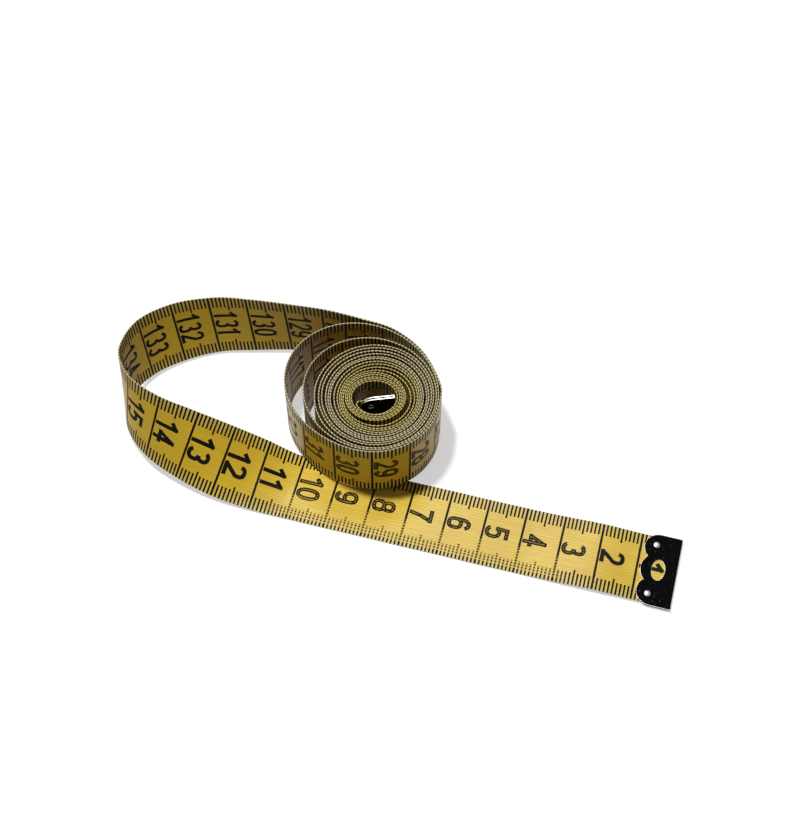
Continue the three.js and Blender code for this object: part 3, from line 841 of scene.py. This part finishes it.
STRETCHES = {
    "cloth_zero_end": (0, 8),
    "cloth_loop": (8, 20),
    "cloth_run_in": (20, 26),
    "cloth_coil": (26, LENGTH_CM),
}
cloth = {name: ribbon_mesh(name, *ends) for name, ends in STRETCHES.items()}

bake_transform(cloth["cloth_zero_end"])
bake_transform(cloth["cloth_loop"])
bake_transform(cloth["cloth_run_in"])
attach(cloth["cloth_coil"], "coil")
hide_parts("tape_zero_end", "tape_front")
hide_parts("tape_twist", "tape_turn")
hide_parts("tape_back")
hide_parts("tape_coil")

# %% [markdown]
# ## The clips
#
# Each clip is a strip of sheet steel, folded over the ribbon's end so that its corners can't fray. A
# press stamped three lobes along its mouth, of which the outer two run on into its sides, and an oval
# window. Black enamel covers all but the stamped edges, which stay bright. The script goes the same way:
# fold a strip, stamp it, break its sharp edges.

# %% Fold the strip
CLIP_LENGTH, CLIP_WIDTH = 9.7 * MM, 20.2 * MM
FOLD_PAST_END = 0.5 * MM  # the fold leaves room for the cut end of the ribbon
CLIP_SHEET, CLIP_INNER = 0.26 * MM, 0.2 * MM
CLIP_OUTER = CLIP_INNER + CLIP_SHEET
FOLD_STEPS = 16
SQUARE_ON = 0.9  # a face looks along an axis if its normal has this share of it
DOUBLES = 0.001 * MM


def select_faces(mesh, chosen):
    """Selects the faces for which a test holds, and nothing else."""
    mesh.vertices.foreach_set("select", [False] * len(mesh.vertices))
    mesh.edges.foreach_set("select", [False] * len(mesh.edges))
    mesh.polygons.foreach_set("select", [bool(chosen(face)) for face in mesh.polygons])


def folded_strip(name):
    """One plate, its end swung round the fold, and drawn out to the second plate."""
    bpy.ops.object.select_all(action="DESELECT")
    reach = CLIP_LENGTH - CLIP_OUTER
    middle = (CLIP_OUTER + reach / 2, 0, CLIP_INNER + CLIP_SHEET / 2)
    bpy.ops.mesh.primitive_cube_add(size=1, location=middle, scale=(reach, CLIP_WIDTH, CLIP_SHEET))
    bpy.ops.object.transform_apply()
    strip = bpy.context.object
    strip.name = strip.data.name = name
    select_faces(strip.data, lambda face: face.normal.x < -SQUARE_ON)
    bpy.ops.object.mode_set(mode="EDIT")
    bpy.ops.mesh.select_mode(type="FACE")
    bpy.ops.mesh.spin(steps=FOLD_STEPS, angle=math.pi, center=(CLIP_OUTER, 0, 0), axis=(0, -1, 0))
    bpy.ops.mesh.extrude_region_move(TRANSFORM_OT_translate={"value": (reach, 0, 0)})
    bpy.ops.mesh.select_all(action="SELECT")
    bpy.ops.mesh.remove_doubles(threshold=DOUBLES)
    bpy.ops.mesh.normals_make_consistent(inside=False)
    bpy.ops.object.mode_set(mode="OBJECT")
    return strip


# %% Stamp it
LOBES, LOBE_DEPTH = 3, 1.3 * MM
WINDOW_LENGTH, WINDOW_WIDTH, WINDOW_FROM_FOLD = 3.4 * MM, 5.8 * MM, 5.2 * MM
PUNCH_HEIGHT, SPARE = 6 * MM, 1 * MM  # the stamp reaches past the strip
ROUND_SIDES, WINDOW_SIDES = 96, 48
EDGE_BREAK, BREAK_OVER, BREAK_STEPS = 0.11 * MM, math.radians(50), 2
SLIVER = 0.03 * MM  # edges as short as this, left by the cuts, would keep the others from being broken


def cut_with(piece, tool, operation):
    """Cuts a piece with a tool and throws the tool away."""
    change = piece.modifiers.new("cut", "BOOLEAN")
    change.object, change.operation, change.solver = tool, operation, "EXACT"
    bpy.context.view_layer.objects.active = piece
    bpy.ops.object.modifier_apply(modifier=change.name)
    bpy.data.objects.remove(tool)


def punch(place, size, sides=ROUND_SIDES):
    bpy.ops.mesh.primitive_cylinder_add(vertices=sides, radius=0.5, depth=1, location=(*place, 0),
                                        scale=(*size, PUNCH_HEIGHT))
    bpy.ops.object.transform_apply()
    return bpy.context.object


def stamped_clip(name):
    clip = folded_strip(name)
    half = CLIP_WIDTH / LOBES / 2
    beside = CLIP_WIDTH / 2 - half
    lobe = (half**2 + LOBE_DEPTH**2) / (2 * LOBE_DEPTH)
    # an outer lobe starts at the notch and runs on into the side of the clip
    corner = LOBE_DEPTH + beside - math.sqrt(2 * LOBE_DEPTH * beside)
    square = CLIP_LENGTH - corner
    bpy.ops.mesh.primitive_cube_add(size=1, location=(square / 2 - SPARE, 0, 0),
                                    scale=(square + 2 * SPARE, CLIP_WIDTH + 2 * SPARE, PUNCH_HEIGHT))
    bpy.ops.object.transform_apply()
    outline = bpy.context.object
    outer = CLIP_WIDTH / 2 - corner
    for radius, over in ((lobe, 0), (corner, outer), (corner, -outer)):
        cut_with(outline, punch((CLIP_LENGTH - radius, over), (2 * radius, 2 * radius)), "UNION")
    cut_with(clip, outline, "INTERSECT")
    window = punch((WINDOW_FROM_FOLD, 0), (WINDOW_LENGTH, WINDOW_WIDTH), WINDOW_SIDES)
    cut_with(clip, window, "DIFFERENCE")
    bpy.ops.object.mode_set(mode="EDIT")
    bpy.ops.mesh.select_all(action="SELECT")
    bpy.ops.mesh.dissolve_degenerate(threshold=SLIVER)
    bpy.ops.object.mode_set(mode="OBJECT")
    broken = clip.modifiers.new("broken edges", "BEVEL")
    broken.width, broken.segments = EDGE_BREAK, BREAK_STEPS
    broken.limit_method, broken.angle_limit = "ANGLE", BREAK_OVER
    bpy.context.view_layer.objects.active = clip
    bpy.ops.object.modifier_apply(modifier=broken.name)
    print(name, "has", len(clip.data.polygons), "faces")
    return clip


# %% Enamel, bare steel and plated steel
SPECK_SIZE = 0.35  # millimetres
SPECK_EDGE, SPECK_FULL = 0.70, 0.78  # of the noise, so that specks are few
ENAMEL_BLACK, ENAMEL_DUST = "#070708", "#8A867C"


def enamel():
    """Deep black and smooth, with a thin gloss. Fine dust and chips show as pale specks."""
    material, tree, shader = new_material("black_enamel")
    place = add_node(tree, "ShaderNodeTexCoord", {}).outputs["Object"]
    specks = add_node(tree, "ShaderNodeTexNoise", {
        "Vector": place, "Scale": 1 / (SPECK_SIZE * MM), "Detail": 2.0})
    few = add_node(tree, "ShaderNodeMapRange", {
        "Value": specks.outputs["Fac"], "From Min": SPECK_EDGE, "From Max": SPECK_FULL})
    mixed = add_node(tree, "ShaderNodeMix", {
        "Factor": few.outputs[0], "A": linear(ENAMEL_BLACK), "B": linear(ENAMEL_DUST)},
        data_type="RGBA")
    tree.links.new(mixed.outputs["Result"], shader.inputs["Base Color"])
    set_values(shader, Roughness=0.06, IOR=1.5, Specular_IOR_Level=0.03)
    return material


def steel(name, colour, roughness):
    """A bright metal with a slight haze, which shows the room as soft patches."""
    material, _, shader = new_material(name)
    set_values(shader, Base_Color=linear(colour), Metallic=1.0, Roughness=roughness)
    return material


enamel_black = enamel()
stamped_edge = steel("bare_steel_edge", "#C6C4BE", roughness=0.45)
plated_steel = steel("plated_steel", "#8E9092", roughness=0.30)
print("metals:", [material.name for material in (enamel_black, stamped_edge, plated_steel)])

# %% Put the clips on the ends
BARE_FACE_LEAN = 0.95  # the broken edges are bare too
SMOOTH_UNDER = math.radians(40)


def frame_of(end, to_mouth, face):
    """The clip's own axes at an end of the ribbon: to its mouth, over it, and out of its face."""
    turned = np.stack((to_mouth, np.cross(face, to_mouth), face), axis=1)
    place = Matrix(turned.tolist()).to_4x4()
    place.translation = end - to_mouth * FOLD_PAST_END
    return place


def finish_clip(clip, place):
    """Enamel on all faces but the stamped ones, which stand square to the plates."""
    clip.data.materials.append(enamel_black)
    clip.data.materials.append(stamped_edge)
    for face in clip.data.polygons:
        stamped = abs(face.normal.z) < BARE_FACE_LEAN and face.center.x > CLIP_OUTER
        face.material_index = int(stamped)
    clip.data.transform(place)
    bpy.ops.object.select_all(action="DESELECT")
    clip.select_set(True)
    bpy.context.view_layer.objects.active = clip
    bpy.ops.object.shade_smooth_by_angle(angle=SMOOTH_UNDER)
    # the wide plates keep their own normal, so that they shine evenly up to the broken edges
    flat = clip.modifiers.new("flat plates", "WEIGHTED_NORMAL")
    flat.keep_sharp = True
    bpy.ops.object.modifier_apply(modifier=flat.name)


up = np.array([0.0, 0.0, 1.0])
start = unit(looked_up(slopes["middle"], np.array([0.0])) * (1, 1, 0))[0]
zero_end = frame_of(place_at(0), start, up)
core_end = frame_of(ribbon["fold"] + up * WIDTH / 2, -ribbon["chord"], np.cross(up, ribbon["chord"]))
clips = {}
for name, body, place in (("zero_clip", "zero_end", zero_end), ("core_clip", "coil", core_end)):
    clips[name] = stamped_clip("enamelled_" + name)
    finish_clip(clips[name], place)
    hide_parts(name)
    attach(clips[name], body)

# %% [markdown]
# ## The rivets
#
# A rivet is a pin whose two ends are pressed flat into round heads. The pin goes through both plates
# and the ribbon, so only the low domes of the heads show. Each is a cylinder whose caps are widened and
# then raised ring by ring.

# %% Rivets
SHANK_RADIUS, HEAD_RADIUS, HEAD_HEIGHT = 0.5 * MM, 0.85 * MM, 0.20 * MM
RIVET_FROM_FOLD, RIVET_FROM_EDGE = 6.75 * MM, 2.5 * MM
DOME_ANGLES = (25, 50, 75)
RIVET_SIDES = 32


def rivet(name, place):
    bpy.ops.object.select_all(action="DESELECT")
    bpy.ops.mesh.primitive_cylinder_add(vertices=RIVET_SIDES, radius=SHANK_RADIUS,
                                        depth=2 * CLIP_OUTER)
    made = bpy.context.object
    made.name = made.data.name = name
    for side in (1, -1):
        select_faces(made.data, lambda face: face.normal.z * side > SQUARE_ON
                     and len(face.vertices) == RIVET_SIDES)
        bpy.ops.object.mode_set(mode="EDIT")
        bpy.ops.mesh.select_mode(type="FACE")
        radius, height = SHANK_RADIUS, 0.0
        for angle in (0, *DOME_ANGLES):
            wider = HEAD_RADIUS * math.cos(math.radians(angle))
            higher = HEAD_HEIGHT * math.sin(math.radians(angle))
            rise = (0, 0, side * (higher - height))
            bpy.ops.mesh.extrude_region_move(TRANSFORM_OT_translate={"value": rise})
            grow = (wider / radius, wider / radius, 1)
            bpy.ops.transform.resize(value=grow, center_override=(0, 0, 0))
            radius, height = wider, higher
        bpy.ops.object.mode_set(mode="OBJECT")
    made.data.transform(place)
    made.data.materials.append(plated_steel)
    bpy.ops.object.shade_smooth_by_angle(angle=SMOOTH_UNDER)
    return made


for node, body, place, side in (
    ("zero_clip_rivet_far", "zero_end", zero_end, -1),
    ("zero_clip_rivet_near", "zero_end", zero_end, 1),
    ("core_clip_rivet_lower", "coil", core_end, -1),
    ("core_clip_rivet_upper", "coil", core_end, 1),
):
    spot = Matrix.Translation((RIVET_FROM_FOLD, side * (WIDTH / 2 - RIVET_FROM_EDGE), 0))
    made = rivet("domed_" + node, place @ spot)
    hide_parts(node)
    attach(made, body)
    print(made.name, "has", len(made.data.polygons), "faces")

# %% [markdown]
# ## The stage
#
# A pale floor catches the shadow, and the world stands for a bright room. A small lamp overhead, a
# little to the left and behind, lights what looks up. It leaves the hollow of the coil and the gaps
# between its loops dark, and a shadow under the front of the coil. A softbox behind is mirrored in the
# flat stretch and gives it its gloss, and adds nothing to matt surfaces.

# %% Floor, lamps and world
FLOOR_SIZE = 6.0
FLOOR_GREY, FLOOR_GLOW = "#C3C3C3", 0.54
ROOM_STRENGTH = 0.10
WHITE = (1, 1, 1, 1)


def seen_rays(tree):
    """1 for rays that show a surface in the picture, straight, mirrored or through glass."""
    path = add_node(tree, "ShaderNodeLightPath", {}).outputs
    mirrored = add_node(tree, "ShaderNodeMath", {
        0: path["Is Camera Ray"], 1: path["Is Glossy Ray"]}, operation="MAXIMUM")
    through = add_node(tree, "ShaderNodeMath", {
        0: mirrored.outputs[0], 1: path["Is Transmission Ray"]}, operation="MAXIMUM")
    return through.outputs[0]


def add_floor():
    bpy.ops.object.select_all(action="DESELECT")
    bpy.ops.mesh.primitive_plane_add(size=FLOOR_SIZE)
    floor = bpy.context.object
    floor.name = "floor"
    material, tree, shader = new_material("matt_white_paper")
    set_values(shader, Base_Color=linear(FLOOR_GREY), Roughness=0.9)
    glow = add_node(tree, "ShaderNodeEmission", {"Color": WHITE, "Strength": FLOOR_GLOW})
    both = add_node(tree, "ShaderNodeAddShader", {0: shader.outputs[0], 1: glow.outputs[0]})
    pick = add_node(tree, "ShaderNodeMixShader", {
        0: seen_rays(tree), 1: shader.outputs[0], 2: both.outputs[0]})
    tree.links.new(pick.outputs[0], tree.nodes["Material Output"].inputs["Surface"])
    floor.data.materials.append(material)


def add_lamp(name, place, size, power):
    """A soft lamp, wide and deep, that shines on the middle of the table."""
    lamp = bpy.data.lights.new(name, "AREA")
    lamp.shape = "RECTANGLE"
    lamp.size, lamp.size_y = size
    lamp.energy = power
    made = bpy.data.objects.new(name, lamp)
    made.location = place
    made.rotation_mode = "QUATERNION"
    made.rotation_quaternion = (-Vector(place)).to_track_quat("-Z", "Y")
    bpy.context.scene.collection.objects.link(made)
    return made


def add_world():
    world = bpy.data.worlds.new("studio")
    bpy.context.scene.world = world
    world.use_nodes = True
    tree = world.node_tree
    room = tree.nodes["Background"]
    set_values(room, Color=WHITE, Strength=ROOM_STRENGTH)
    white = add_node(tree, "ShaderNodeBackground", {"Color": WHITE, "Strength": 1.0})
    pick = add_node(tree, "ShaderNodeMixShader", {
        0: seen_rays(tree), 1: room.outputs[0], 2: white.outputs[0]})
    tree.links.new(pick.outputs[0], tree.nodes["World Output"].inputs["Surface"])


add_floor()
add_lamp("overhead", place=(-0.17, 0.095, 0.82), size=(0.07, 0.07), power=6.0)
softbox = add_lamp("softbox", place=(0.02, 0.34, 0.68), size=(0.24, 0.15), power=4.0)
softbox.visible_diffuse = False
add_world()
print("lamps:", [lamp.name for lamp in bpy.data.lights])
